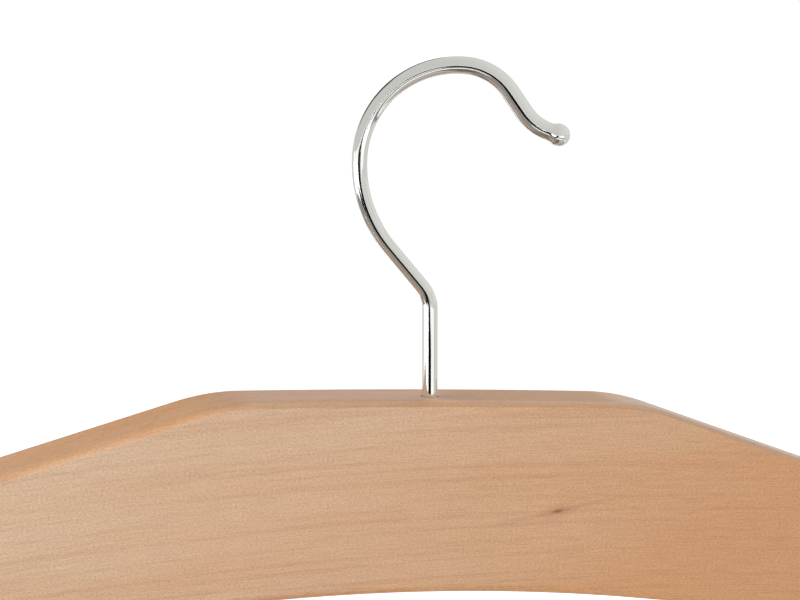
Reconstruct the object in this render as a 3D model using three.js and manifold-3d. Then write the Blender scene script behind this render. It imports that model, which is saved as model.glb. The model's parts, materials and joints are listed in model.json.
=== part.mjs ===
// Tiered trouser hanger: a lacquered wooden head turns on a chromed wire hook and carries a bent
// steel frame, and the trouser bars swing out to the front from the frame's left post.
// Millimetres, +Z up, +X along the bars, -Y to the front. The origin lies on the swivel axis,
// level with the underside of the hook's crest, where the closet rail bears.
import * as THREE from "three";
import { mergeVertices } from "three/addons/utils/BufferGeometryUtils.js";
import Module from "manifold-3d";

// Fits and facets
const seatGap = 0.3; // between faces that rest on each other
const runningGap = 0.2; // radial, between a round piece and its bore
const roundSides = 16; // facets of turned and drawn pieces
const bendStep = 12; // degrees of a wire's turn between two sections
const curveSteps = 5; // facets of a rounded corner of the head
const edgeSteps = 2; // facets of the head's rounded edge

// Hook: one wire, bent in a plane from the stem up, over the crest and out to the ball end
const wireDiameter = 4.4;
const stemBare = 0.8; // straight wire between the head and the stem's lean
const stemLean = 3.4; // degrees, as all turns of the wire, away from the hook's open side
const stemRise = 22.9; // straight wire above the lean
const neckRadius = 9.8;
const neckTurn = 39.6;
const neckRun = 13.9;
const backRadius = 35.7;
const backTurn = 43;
const crestRadius = 26.6;
const crestTurn = 91.7;
const fallRadius = 16.3; // behind the crest, where the wire turns down
const fallTurn = 50.7;
const flankRun = 6.8;
const flareRadius = 13.8;
const flareTurn = 36.2;
const tipRun = 2.9;
const ballDiameter = 6.2;
const hookTurn = 20; // the way the hook is turned on its swivel at rest

// Swivel fittings inside the head
const bushWall = 1.1;
const bushRecess = 6; // below the head's top, where the wood closes round the stem
const washerDiameter = 12;
const washerThickness = 1.2;
const rivetLip = 1.7; // of the stem's end, headed over under the washer
const rivetHeight = 2.2;
const pocketRoom = 1; // round the washer
const plugThickness = 6;

// Head
const headThickness = 24;
const headHeight = 52.9; // on the swivel axis, from the top to the arch
const topHalf = 60.6; // from the axis to where the shoulder starts
const topCrown = 0.6;
const shoulderAngle = 17.6; // degrees
const shoulderBlend = 9;
const endMargin = 15; // wood outside each post's axis
const endRound = 16;
const footRound = 9;
const footStep = 8; // how far the foot drops below the arch's end
const footReach = 16; // foot inside each post's axis
const footSlant = 9;
const insideRound = 5;
const edgeRound = 2.2;

// Frame: one rod, bent into a U
const postSpacing = 330;
const postDiameter = 6;
const postDepth = 30; // bore in the foot
const postCover = 12.8; // wood above the bore
const postTail = 16; // straight post under the lowest collar
const bendRadius = 20;
const crossPinDiameter = 3;
const crossPinCover = 3.7; // wood in front of the pin
const ferruleDiameter = 16;
const ferruleHeight = 2.6;

// Tiers
const tierCount = 4;
const firstGap = 23; // bare post above the first eye
const tierGap = 36; // bare post between a collar and the next eye

// Swing bar
const barDiameter = 14;
const socketWall = 1.3;
const socketBack = 4; // metal between the eye and the bar
const socketDepth = 18;
const eyeWall = 2.8;
const studDiameter = 6;
const cupFloor = 3;
const cupDepth = 11;
const sleeveMargin = 10;
const sleeveWall = 0.6; // under the ribs
const sleeveRibs = 20;
const ribHeight = 0.6;

// Collars and bar rests on the posts
const collarWall = 3.4;
const collarHeight = 8;
const thrustThickness = 1;
const screwDiameter = 3;
const hexAcross = 1.5;
const hexDepth = 1.2;
const restHeight = 13;
const shelfLength = 12; // beyond the rest's ring
const shelfRoom = 3.6; // between the shelf and the bar's cap
const shelfThickness = 3;
const shelfFront = 7; // from the stud's axis
const stopThickness = 3;
const stopRise = 3; // above the stud's axis

// Places worked out from the sizes above, with the head's top at height 0
const radians = THREE.MathUtils.degToRad;
const wireRadius = wireDiameter / 2;
const stemBore = wireRadius + runningGap;
const bushRadius = stemBore + bushWall;
const plugRadius = washerDiameter / 2 + pocketRoom;
const pocketTop = -headHeight + plugThickness + washerThickness + rivetHeight + 3 * seatGap;
const washerTop = pocketTop - seatGap;
const stemEnd = washerTop - washerThickness - seatGap - rivetHeight;

const postX = postSpacing / 2;
const postRadius = postDiameter / 2;
const postBore = postRadius + runningGap;
const headHalf = postX + endMargin;
const shoulderSlope = Math.tan(radians(shoulderAngle));
const shoulderZ = (x) => -topCrown - (x - topHalf) * shoulderSlope;
const footZ = shoulderZ(postX) - postCover - postDepth;
const crossPinZ = footZ + postDepth / 2;
const crossPinBack = headThickness / 2 - seatGap;
const crossPinFront = -headThickness / 2 + crossPinCover;

const barRadius = barDiameter / 2;
const barBore = barRadius + runningGap;
const socketRadius = barBore + socketWall;
const eyeRadius = postBore + eyeWall;
const eyeHeight = 2 * socketRadius;
const socketFloor = eyeRadius + socketBack;
const socketEnd = socketFloor + socketDepth;

const collarRadius = postBore + collarWall;
const collarTop = -eyeHeight / 2 - thrustThickness - 2 * seatGap;
const collarLow = collarTop - collarHeight;
const collarMiddle = (collarTop + collarLow) / 2;
const screwRadius = screwDiameter / 2;

const studRadius = studDiameter / 2;
const studEnd = postSpacing - collarRadius - 2 * seatGap;
const cupEnd = postSpacing - collarRadius - shelfLength - shelfRoom;
const cupStart = cupEnd - cupFloor - cupDepth;
const shelfTop = -studRadius - seatGap;
const shelfBottom = shelfTop - shelfThickness;

const ferruleTop = footZ - seatGap;
const firstBarZ = ferruleTop - ferruleHeight - firstGap - eyeHeight / 2;
const tierPitch = eyeHeight / 2 - collarLow + tierGap;
const barZ = (index) => firstBarZ - index * tierPitch;
const frameBottom = barZ(tierCount - 1) + collarLow - postTail - bendRadius;

// Finishes
const lacqueredWood = new THREE.MeshStandardMaterial({ color: 0xd8ad84, roughness: 0.42 });
const chromePlate = new THREE.MeshStandardMaterial({ color: 0xdadbdc, roughness: 0.08, metalness: 1 });
const zincSteel = new THREE.MeshStandardMaterial({ color: 0xa9adb0, roughness: 0.35, metalness: 1 });
const whiteNylon = new THREE.MeshStandardMaterial({ color: 0xeceae4, roughness: 0.5 });
const clearVinyl = new THREE.MeshStandardMaterial({
  color: 0xe6e4dc,
  roughness: 0.3,
  transparent: true,
  opacity: 0.55,
});

const wasm = await Module();
wasm.setup();

// A closed geometry as a solid that can be joined and cut.
function solid(geometry) {
  const bare = geometry.clone();
  bare.deleteAttribute("normal");
  bare.deleteAttribute("uv");
  const merged = mergeVertices(bare);
  return new wasm.Manifold(
    new wasm.Mesh({
      numProp: 3,
      vertProperties: merged.attributes.position.array,
      triVerts: new Uint32Array(merged.index.array),
    }),
  );
}

function named(name, body, material) {
  const { vertProperties, triVerts } = body.getMesh();
  const geometry = new THREE.BufferGeometry();
  geometry.setAttribute("position", new THREE.BufferAttribute(vertProperties, 3));
  geometry.setIndex(new THREE.BufferAttribute(triVerts, 1));
  geometry.computeVertexNormals();
  const mesh = new THREE.Mesh(geometry, material);
  mesh.name = name;
  return mesh;
}

// A profile of [radius, height] pairs turned about Z.
function turned(profile) {
  const points = profile.map(([radius, height]) => new THREE.Vector2(radius, height));
  return new THREE.LatheGeometry(points, roundSides).rotateX(Math.PI / 2);
}

function pin(radius, low, high) {
  return turned([[0, low], [radius, low], [radius, high], [0, high]]);
}

function ring(inner, outer, low, high) {
  return turned([[inner, low], [outer, low], [outer, high], [inner, high], [inner, low]]);
}

function block(low, high) {
  const size = high.map((value, axis) => value - low[axis]);
  const middle = high.map((value, axis) => (value + low[axis]) / 2);
  return new THREE.BoxGeometry(...size).translate(...middle);
}

function alongX(geometry) {
  return geometry.rotateY(Math.PI / 2);
}

function alongY(geometry) {
  return geometry.rotateX(-Math.PI / 2);
}

function polygon(corners, radiusAt) {
  const points = Array.from({ length: corners }, (_, i) => {
    const angle = (2 * Math.PI * i) / corners;
    return new THREE.Vector2(radiusAt(i) * Math.cos(angle), radiusAt(i) * Math.sin(angle));
  });
  return new THREE.Shape(points);
}

// A wire bent in the XZ plane: straight runs and round turns, with a section at each end of a run
// and every few degrees of a turn.
class BentWire extends THREE.Curve {
  constructor(x, z, heading) {
    super();
    this.heading = heading;
    this.stations = [];
    this.stop(new THREE.Vector3(x, 0, z));
  }

  stop(point) {
    const tangent = new THREE.Vector3(Math.cos(this.heading), 0, Math.sin(this.heading));
    this.stations.push({ point, tangent });
  }

  run(length) {
    const { point, tangent } = this.end();
    this.stop(point.clone().addScaledVector(tangent, length));
    return this;
  }

  // Turns left for a positive angle, and right for a negative one.
  turn(radius, angle) {
    const side = Math.sign(angle);
    const from = this.heading;
    const start = this.end().point;
    const steps = Math.ceil(Math.abs(angle) / radians(bendStep));
    for (let i = 1; i <= steps; i++) {
      this.heading = from + (angle * i) / steps;
      const across = side * radius * (Math.sin(this.heading) - Math.sin(from));
      const up = side * radius * (Math.cos(from) - Math.cos(this.heading));
      this.stop(start.clone().add(new THREE.Vector3(across, 0, up)));
    }
    return this;
  }

  end() {
    return this.stations.at(-1);
  }

  at(u) {
    return this.stations[Math.round(u * (this.stations.length - 1))];
  }

  getPointAt(u) {
    return this.at(u).point.clone();
  }

  getTangentAt(u) {
    return this.at(u).tangent.clone();
  }

  sweep(radius) {
    const section = polygon(roundSides, () => radius);
    return new THREE.ExtrudeGeometry(section, { steps: this.stations.length - 1, extrudePath: this });
  }
}

const quarterTurn = Math.PI / 2;

// The wire from the stem's end to where the back's bend meets the crest's.
function risingWire() {
  return new BentWire(0, stemEnd, quarterTurn)
    .run(stemBare - stemEnd)
    .turn(neckRadius, radians(stemLean))
    .run(stemRise)
    .turn(neckRadius, radians(neckTurn))
    .run(neckRun)
    .turn(backRadius, -radians(backTurn));
}

function crestUnderside() {
  const wire = risingWire();
  return wire.end().point.z + crestRadius * (1 - Math.cos(wire.heading)) - wireRadius;
}

function hook() {
  const wire = risingWire()
    .turn(crestRadius, -radians(crestTurn))
    .turn(fallRadius, -radians(fallTurn))
    .run(flankRun)
    .turn(flareRadius, radians(flareTurn))
    .run(tipRun);
  const ball = new THREE.SphereGeometry(ballDiameter / 2, roundSides, roundSides / 2);
  ball.translate(...wire.end().point);
  const rivet = pin(wireRadius + rivetLip, stemEnd, stemEnd + rivetHeight);
  const body = solid(wire.sweep(wireRadius)).add(solid(ball)).add(solid(rivet));
  const mesh = named("hook", body, chromePlate);
  mesh.rotation.z = -radians(hookTurn);
  return mesh;
}

// A steel tube lines the bore in which the stem turns.
function hookBush() {
  return named("hook_bush", solid(ring(stemBore, bushRadius, pocketTop, -bushRecess)), zincSteel);
}

function hookWasher() {
  const washer = ring(stemBore, washerDiameter / 2, washerTop - washerThickness, washerTop);
  return named("hook_washer", solid(washer), zincSteel);
}

function hookPlug() {
  return named("hook_plug", solid(pin(plugRadius, -headHeight, -headHeight + plugThickness)), lacqueredWood);
}

// Rounds a corner with a curve that starts and ends a given reach from it.
function roundCorner(path, before, corner, after, reach) {
  const start = before.clone().sub(corner).setLength(reach).add(corner);
  const end = after.clone().sub(corner).setLength(reach).add(corner);
  path.lineTo(start.x, start.y);
  path.quadraticCurveTo(corner.x, corner.y, end.x, end.y);
}

// The head seen from the front. The right half runs from the crown's middle, over the shoulder and
// round the foot, to the arch's middle, and the left half mirrors it.
function headOutline() {
  const crownEnd = topHalf - shoulderBlend;
  const crownZ = -topCrown * (crownEnd / topHalf) ** 2;
  const crownSlope = (2 * crownZ) / crownEnd;
  const breakX = (shoulderZ(0) - crownZ + crownSlope * crownEnd) / (crownSlope + shoulderSlope);
  const shoulderStart = new THREE.Vector2(topHalf + shoulderBlend, shoulderZ(topHalf + shoulderBlend));
  const shoulderEnd = new THREE.Vector2(headHalf, shoulderZ(headHalf));
  const footOutside = new THREE.Vector2(headHalf, footZ);
  const footInside = new THREE.Vector2(postX - footReach, footZ);
  const archEnd = new THREE.Vector2(footInside.x - footSlant, footZ + footStep);
  const archDrop = -headHeight - archEnd.y;
  const insideReach = Math.min(insideRound, footInside.distanceTo(archEnd) / 2);
  const archX = archEnd.x - insideReach;
  const archStart = new THREE.Vector2(archX, -headHeight - archDrop * (archX / archEnd.x) ** 2);

  const half = new THREE.Path().moveTo(0, 0);
  half.quadraticCurveTo(crownEnd / 2, 0, crownEnd, crownZ);
  half.quadraticCurveTo(breakX, shoulderZ(breakX), shoulderStart.x, shoulderStart.y);
  roundCorner(half, shoulderStart, shoulderEnd, footOutside, endRound);
  roundCorner(half, shoulderEnd, footOutside, footInside, footRound);
  roundCorner(half, footOutside, footInside, archEnd, insideReach);
  roundCorner(half, footInside, archEnd, archStart, insideReach);
  half.quadraticCurveTo(archX / 2, -headHeight, 0, -headHeight);

  const right = half.getPoints(curveSteps);
  const left = right.slice(1, -1).reverse().map(({ x, y }) => new THREE.Vector2(-x, y));
  return new THREE.Shape([...right, ...left]);
}

function crossPinBore(x) {
  const bore = pin(crossPinDiameter / 2 + runningGap, crossPinFront - seatGap, headThickness);
  return solid(alongY(bore).translate(x, 0, crossPinZ));
}

function head() {
  const board = new THREE.ExtrudeGeometry(headOutline(), {
    depth: headThickness - 2 * edgeRound,
    bevelThickness: edgeRound,
    bevelSize: edgeRound,
    bevelOffset: -edgeRound,
    bevelSegments: edgeSteps,
  });
  board.translate(0, 0, edgeRound - headThickness / 2).rotateX(Math.PI / 2);
  let body = solid(board)
    .subtract(solid(pin(stemBore, -headHeight, headHeight)))
    .subtract(solid(pin(bushRadius + runningGap, -headHeight, seatGap - bushRecess)))
    .subtract(solid(pin(plugRadius + runningGap, -2 * headHeight, pocketTop)));
  for (const x of [-postX, postX]) {
    const bore = pin(postBore, footZ - postDepth, footZ + postDepth).translate(x, 0, 0);
    body = body.subtract(solid(bore)).subtract(crossPinBore(x));
  }
  return named("head", body, lacqueredWood);
}

function frameRod() {
  const postTop = footZ + postDepth - seatGap;
  const postRun = postTop - frameBottom - bendRadius;
  const rod = new BentWire(-postX, postTop, -quarterTurn)
    .run(postRun)
    .turn(bendRadius, quarterTurn)
    .run(postSpacing - 2 * bendRadius)
    .turn(bendRadius, quarterTurn)
    .run(postRun);
  const body = solid(rod.sweep(postRadius)).subtract(crossPinBore(-postX)).subtract(crossPinBore(postX));
  return named("frame_rod", body, chromePlate);
}

// The steel pin, driven in from the back, that fixes a post in the head.
function crossPin(name, x) {
  const steel = alongY(pin(crossPinDiameter / 2, crossPinFront, crossPinBack));
  return named(name, solid(steel.translate(x, 0, crossPinZ)), zincSteel);
}

// A cupped ring under the foot that trims the hole where the post goes in.
function ferrule(name, x) {
  const outer = ferruleDiameter / 2;
  const low = ferruleTop - ferruleHeight;
  const neck = (postBore + outer) / 2;
  const rim = ferruleTop - ferruleHeight / 3;
  const profile = [
    [postBore, low],
    [neck, low],
    [outer, rim],
    [outer, ferruleTop],
    [postBore, ferruleTop],
    [postBore, low],
  ];
  return named(name, solid(turned(profile).translate(x, 0, 0)), chromePlate);
}

// The bar's hinge: an eye round the left post, cast in one with the socket that holds the bar.
function pivotEye(name) {
  const chamfer = socketWall / 2;
  const socket = turned([
    [0, 0],
    [postRadius, 0],
    [eyeRadius, postRadius],
    [socketRadius - chamfer, socketFloor - chamfer],
    [socketRadius, socketFloor],
    [socketRadius, socketEnd - chamfer],
    [socketRadius - chamfer, socketEnd],
    [0, socketEnd],
  ]);
  const body = solid(pin(eyeRadius, -eyeHeight / 2, eyeHeight / 2))
    .add(solid(alongX(socket)))
    .subtract(solid(pin(postBore, -eyeHeight, eyeHeight)))
    .subtract(solid(alongX(pin(barBore, socketFloor, 2 * socketEnd))));
  return named(name, body, chromePlate);
}

function bar(name) {
  const dowel = pin(barRadius, socketFloor + seatGap, cupEnd - cupFloor - seatGap);
  return named(name, solid(alongX(dowel)), lacqueredWood);
}

// A vinyl tube with ribs along it, pushed over the bar so that trousers don't slip.
function gripSleeve(name) {
  const section = polygon(2 * sleeveRibs, (i) => barBore + sleeveWall + (i % 2) * ribHeight);
  section.holes.push(polygon(roundSides, () => barBore));
  const start = socketEnd + sleeveMargin;
  const depth = cupStart - sleeveMargin - start;
  const tube = new THREE.ExtrudeGeometry(section, { depth, bevelEnabled: false });
  return named(name, solid(alongX(tube).translate(start, 0, 0)), clearVinyl);
}

// The cap on the bar's free end, with the round stud that lies on the bar rest.
function tipCap(name) {
  const chamfer = socketWall / 2;
  const nose = studRadius / 2;
  const cap = turned([
    [0, cupStart],
    [socketRadius - chamfer, cupStart],
    [socketRadius, cupStart + chamfer],
    [socketRadius, cupEnd - cupFloor],
    [studRadius, cupEnd],
    [studRadius, studEnd - nose],
    [studRadius - nose, studEnd],
    [0, studEnd],
  ]);
  const body = solid(alongX(cap)).subtract(solid(alongX(pin(barBore, 0, cupEnd - cupFloor))));
  return named(name, body, chromePlate);
}

// A slip ring between the eye that turns and the collar that doesn't.
function thrustWasher(name) {
  const top = -eyeHeight / 2 - seatGap;
  return named(name, solid(ring(postBore, eyeRadius, top - thrustThickness, top)), whiteNylon);
}

function screwBore() {
  return solid(alongX(pin(screwRadius + runningGap, 0, 2 * collarRadius)));
}

// A grub screw that points along +X from the post's axis, with a hexagon socket in its outer end.
function setScrew() {
  const end = collarRadius - seatGap;
  const hexRadius = hexAcross / Math.sqrt(3);
  const hexagon = new THREE.CylinderGeometry(hexRadius, hexRadius, 2 * hexDepth, 6);
  hexagon.rotateZ(Math.PI / 2).translate(end, 0, 0);
  return solid(alongX(pin(screwRadius, postRadius + seatGap, end))).subtract(solid(hexagon));
}

const halfTurn = [0, 0, 180];
const collarChamfer = collarWall / 4;

// The fixed collar that carries the eye, with its screw on the outer side.
function collar(name) {
  const body = turned([
    [postBore, collarLow],
    [collarRadius - collarChamfer, collarLow],
    [collarRadius, collarLow + collarChamfer],
    [collarRadius, collarTop],
    [postBore, collarTop],
    [postBore, collarLow],
  ]);
  const bore = screwBore().rotate(halfTurn).translate([0, 0, collarMiddle]);
  return named(name, solid(body).subtract(bore), chromePlate);
}

function collarScrew(name) {
  return named(name, setScrew().rotate(halfTurn).translate([0, 0, collarMiddle]), zincSteel);
}

// A ring on the right post with a shelf under the stud and a stop behind it, open to the front.
function barRest(name) {
  const low = shelfBottom - seatGap;
  const top = low + restHeight;
  const shelfStart = -collarRadius - shelfLength;
  const stopFront = studRadius + seatGap;
  const stopBack = stopFront + stopThickness;
  const hub = turned([
    [postBore, low],
    [collarRadius, low],
    [collarRadius, top - collarChamfer],
    [collarRadius - collarChamfer, top],
    [postBore, top],
    [postBore, low],
  ]);
  const body = solid(hub)
    .add(solid(block([shelfStart, -shelfFront, shelfBottom], [-postBore, stopBack, shelfTop])))
    .add(solid(block([shelfStart, stopFront, shelfBottom], [-postBore, stopBack, stopRise])))
    .subtract(solid(pin(postBore, 2 * low, 2 * top)))
    .subtract(screwBore());
  return named(name, body, chromePlate);
}

function restScrew(name) {
  return named(name, setScrew(), zincSteel);
}

function tier(index) {
  const number = index + 1;
  const left = new THREE.Group();
  left.position.set(-postX, 0, barZ(index));
  left.add(
    pivotEye(`pivot_eye_${number}`),
    bar(`bar_${number}`),
    gripSleeve(`grip_sleeve_${number}`),
    tipCap(`tip_cap_${number}`),
    thrustWasher(`thrust_washer_${number}`),
    collar(`collar_${number}`),
    collarScrew(`collar_screw_${number}`),
  );
  const right = new THREE.Group();
  right.position.set(postX, 0, barZ(index));
  right.add(barRest(`bar_rest_${number}`), restScrew(`rest_screw_${number}`));
  return [left, right];
}

const hanger = new THREE.Group();
hanger.position.z = -crestUnderside();
hanger.add(hook(), hookBush(), hookWasher(), hookPlug(), head(), frameRod());
hanger.add(ferrule("ferrule_left", -postX), ferrule("ferrule_right", postX));
hanger.add(crossPin("cross_pin_left", -postX), crossPin("cross_pin_right", postX));
for (let index = 0; index < tierCount; index++) {
  hanger.add(...tier(index));
}

export default hanger;
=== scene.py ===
# %% [markdown]
# # A tiered trouser hanger
# A wooden head hangs from a chromed wire hook and carries a bent steel frame. Four bars swing out of
# that frame to the front, one under the other, and each takes a pair of trousers.
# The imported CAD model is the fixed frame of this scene: it says where every piece is and how big it
# is. Smooth, finely rounded pieces take the place of its faceted solids, each in its real finish.

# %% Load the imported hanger
import json
from math import asin, copysign, cos, degrees, hypot, pi, radians, sin, sqrt, tan

import bmesh
import bpy
from mathutils import Matrix, Vector


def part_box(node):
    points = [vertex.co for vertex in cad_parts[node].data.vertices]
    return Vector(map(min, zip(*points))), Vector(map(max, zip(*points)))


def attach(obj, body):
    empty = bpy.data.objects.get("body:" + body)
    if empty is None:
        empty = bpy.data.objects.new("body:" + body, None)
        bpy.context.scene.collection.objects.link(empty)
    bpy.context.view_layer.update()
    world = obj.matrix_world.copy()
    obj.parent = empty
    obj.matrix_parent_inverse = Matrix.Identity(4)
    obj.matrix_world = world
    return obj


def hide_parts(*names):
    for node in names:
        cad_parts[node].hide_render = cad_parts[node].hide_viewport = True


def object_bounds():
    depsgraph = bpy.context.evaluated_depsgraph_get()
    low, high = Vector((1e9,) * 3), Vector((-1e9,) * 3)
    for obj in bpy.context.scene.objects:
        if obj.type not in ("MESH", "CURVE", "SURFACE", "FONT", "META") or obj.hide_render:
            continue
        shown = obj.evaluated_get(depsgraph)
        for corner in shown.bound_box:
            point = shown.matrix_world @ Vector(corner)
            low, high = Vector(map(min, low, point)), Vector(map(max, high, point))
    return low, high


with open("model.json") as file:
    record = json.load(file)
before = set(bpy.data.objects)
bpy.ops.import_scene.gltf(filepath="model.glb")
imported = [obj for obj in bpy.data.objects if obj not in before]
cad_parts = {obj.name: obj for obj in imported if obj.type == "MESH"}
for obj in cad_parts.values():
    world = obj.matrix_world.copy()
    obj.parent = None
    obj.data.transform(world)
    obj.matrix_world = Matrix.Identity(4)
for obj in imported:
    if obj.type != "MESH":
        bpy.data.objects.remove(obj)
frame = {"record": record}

MM = 0.001
cad_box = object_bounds()
size = (cad_box[1] - cad_box[0]) / MM
print(f"hanger: {size.x:.1f} x {size.y:.1f} x {size.z:.1f} mm")

# %% [markdown]
# ## Where the pieces are
# The cells below think in millimetres, as a workshop drawing does, so one helper does the change of
# units. All heights on the head and the hook are measured from the top of the head, where the stem
# comes out of the wood.

# %% Read places from the frame
def corners(node):
    low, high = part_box(node)
    return low / MM, high / MM


head_low, head_high = corners("head")
stem_foot = Vector((0, 0, head_high.z))
rod_low, rod_high = corners("frame_rod")
post_radius = rod_high.y
post_x = rod_high.x - post_radius
tiers = range(1, 5)
bar_heights = {tier: sum(c.z for c in corners(f"bar_{tier}")) / 2 for tier in tiers}
print(f"posts {2 * post_x:.0f} mm apart, bars at", [round(z, 1) for z in bar_heights.values()])

# %% [markdown]
# ## The camera
# The picture was taken from the front, a little to the left of the hook and a little above it, with a
# long lens. Turn, rise and roll are the angles at which the edges of the wooden head fall on those in
# the picture. The camera is placed by its own three axes: to the right, up, and back from the stem.

# %% Place the camera
picture_width = 800
focal_length = 3267  # in pixels of the picture
sensor_width = 36
view_distance = 900
view_turn, view_rise, view_roll = (radians(angle) for angle in (-20, 7.77, 3.45))
aim_right, aim_up = -8.15, 26.45

back = Vector((
    sin(view_turn) * cos(view_rise),
    -cos(view_turn) * cos(view_rise),
    sin(view_rise),
))
level = Vector((cos(view_turn), sin(view_turn), 0))
right = Matrix.Rotation(view_roll, 3, back) @ level
up = back.cross(right)
spot = stem_foot + aim_right * right + aim_up * up + view_distance * back


def in_scene(name, data):
    thing = bpy.data.objects.new(name, data)
    bpy.context.scene.collection.objects.link(thing)
    return thing


camera_data = bpy.data.cameras.new("camera")
camera_data.sensor_width = sensor_width
camera_data.lens = sensor_width * focal_length / picture_width
camera_data.clip_end = 100
camera = in_scene("camera", camera_data)
axes = Matrix((right, up, back)).transposed().to_4x4()
camera.matrix_world = Matrix.Translation(spot * MM) @ axes
bpy.context.scene.camera = camera
print(f"camera: {camera_data.lens:.0f} mm lens, {view_distance} mm from the stem")

# %% [markdown]
# ## Colours and nodes
# Colours are written as they look on a screen, in hex. Blender's shaders work with linear light, so one
# function turns a hex value into a linear colour. Another adds a node to a tree, sets it up and links
# its inputs, so that a material below reads as a list of its layers. An input can be a value, a socket,
# or a node, whose first output in use is then taken.

# %% Helpers for colours and nodes
def linear(hex_colour):
    # The numbers are those of the sRGB curve: a straight foot, then a power.
    shares = [int(hex_colour[i : i + 2], 16) / 255 for i in (1, 3, 5)]
    return [s / 12.92 if s <= 0.04045 else ((s + 0.055) / 1.055) ** 2.4 for s in shares] + [1]


def add(tree, kind, inputs=None, **settings):
    node = tree.nodes.new("ShaderNode" + kind)
    for name, value in settings.items():
        setattr(node, name, value)
    for socket, value in (inputs or {}).items():
        if isinstance(value, bpy.types.Node):
            value = next(output for output in value.outputs if output.enabled)
        if isinstance(value, bpy.types.NodeSocket):
            tree.links.new(value, node.inputs[socket])
        else:
            node.inputs[socket].default_value = value
    return node


def new_finish(name):
    finish = bpy.data.materials.new(name)
    finish.use_nodes = True
    finish.node_tree.nodes.clear()
    return finish, finish.node_tree


print("a mid grey, #808080, is", round(linear("#808080")[0], 3), "in linear light")

# %% [markdown]
# ## The grain of the wood
# The head and the bars are of lotus wood, the pale timber that most wooden hangers are cut from,
# planed, sanded and sprayed with clear lacquer. The eye sees a warm, almost even tan with faint reddish
# streaks, fine fibres and a speckle of pores. A ready wood texture draws rings of one width, so each
# layer here is a noise of its own, drawn out along the grain.
# On the head the grain climbs a little from left to right and then levels out, as it does in a board
# from a slightly bent trunk. Real pores are thinner than a pixel, so they are drawn 0.4 mm wide.

# %% Grain layers
grain_layers = {  # length along the grain and width across it, in mm
    "clouds": (110, 13),
    "streaks": (90, 1.7),
    "fibres": (9, 0.4),
    "pores": (0.7, 0.4),
}


def grain_noises(tree, mm, climb, bow):
    # Heights follow the grain: climb * x - bow * x * x is taken out of them.
    x, y, z = add(tree, "SeparateXYZ", {0: mm}).outputs
    slope = add(tree, "Math", {0: x, 1: -bow, 2: climb}, operation="MULTIPLY_ADD")
    rise = add(tree, "Math", {0: x, 1: slope}, operation="MULTIPLY")
    height = add(tree, "Math", {0: z, 1: rise}, operation="SUBTRACT")
    along_grain = add(tree, "CombineXYZ", {0: x, 1: y, 2: height})
    noises = {}
    for layer, (length, width) in grain_layers.items():
        stretch = (1 / length, 1 / width, 1 / width)
        drawn = add(tree, "VectorMath", {0: along_grain, 1: stretch}, operation="MULTIPLY")
        noises[layer] = add(tree, "TexNoise", {"Vector": drawn, "Scale": 1, "Detail": 2})
    return noises


print("grain layers:", ", ".join(grain_layers))

# %% [markdown]
# ## The board's warm side, its painted light and shade, and its knot
# The head is paler and pinker on the left, more orange on the right and warmer towards its foot, and
# clouds of colour blur the change. The change from left to right is partly the board's own tone and
# partly painted light falling from the left. Everything behind the faces, that is the top, the ends,
# the underside and the moulded edges, is painted warmer and darker: painted shade where these surfaces
# turn away from the light on the faces. The head's front has one pin knot with a reddish tail: three
# soft ellipses, one in the other.

# %% Warm side, edges and knot
cloud_sway = 0.45
# Painted shade: the top, the ends, the underside and the edges, behind the faces, are painted warmer
# and darker.
painted_edge_shade, painted_shade_reach = 0.7, 0.6  # how much warmer, and how many mm behind the face
knot_brown = linear("#96451d")
knot_marks = [  # half length, half height in mm, and how much it darkens
    (26, 1, 0.16),
    (7, 2.4, 0.2),
    (2.3, 0.7, 0.8),
]
knot_tilt = radians(12)
knot_core = 0.3  # share of a mark that has its full strength


def warm_tone_and_painted_light(tree, mm, clouds, tone_and_light_drift, face):
    x, y, z = add(tree, "SeparateXYZ", {0: mm}).outputs
    # The drift along x is partly the board's own tone and partly painted light falling from the left.
    *tone_and_light_ways, warm = tone_and_light_drift
    for distance, per_mm in zip((x, z), tone_and_light_ways):
        warm = add(tree, "Math", {0: distance, 1: per_mm, 2: warm}, operation="MULTIPLY_ADD")
    # Painted shade: all that lies behind the front and back faces turns warmer and darker.
    if face:
        depth = add(tree, "Math", {0: y}, operation="ABSOLUTE")
        edge = add(tree, "MapRange", {
            "Value": depth, "From Min": face, "From Max": face - painted_shade_reach, "To Max": painted_edge_shade,
        })
        warm = add(tree, "Math", {0: warm, 1: edge}, operation="ADD")
    cloud = add(tree, "MapRange", {"Value": clouds, "To Min": -cloud_sway, "To Max": cloud_sway})
    return add(tree, "Math", {0: warm, 1: cloud}, operation="ADD", use_clamp=True)


def knotted(tree, colour, mm, knot):
    away = add(tree, "VectorMath", {0: mm, 1: knot}, operation="SUBTRACT")
    away = add(tree, "VectorRotate", {"Vector": away, "Angle": knot_tilt}, rotation_type="Y_AXIS")
    for half_length, half_height, strength in knot_marks:
        stretch = (1 / half_length, 1 / half_length, 1 / half_height)
        drawn = add(tree, "VectorMath", {0: away, 1: stretch}, operation="MULTIPLY")
        reach = add(tree, "VectorMath", {0: drawn}, operation="LENGTH")
        share = add(tree, "MapRange", {
            "Value": reach, "From Min": 1, "From Max": knot_core, "To Max": strength,
        })
        colour = add(tree, "Mix", {0: share, 6: colour, 7: knot_brown}, data_type="RGBA")
    return colour


print("the knot's tail is", 2 * knot_marks[0][0], "mm long")

# %% [markdown]
# ## Lacquered wood
# The finish lays the layers over each other: the board's two colours, mixed by its tone and by the
# painted light and shade, the reddish streaks, the knot, and last the fibres and pores, which only
# lighten and darken what lies under them. The clear lacquer is the shader's coat: smooth and thin over
# wood that is duller itself.

# %% Wood finish
wood_pale = linear("#d9b595")
wood_warm = linear("#d39a68")
wood_streak = linear("#b97c54")
streak_start, streak_full, streak_depth = 0.5, 0.85, 0.42
fine_shading = {"fibres": 0.18, "pores": 0.38}


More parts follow.
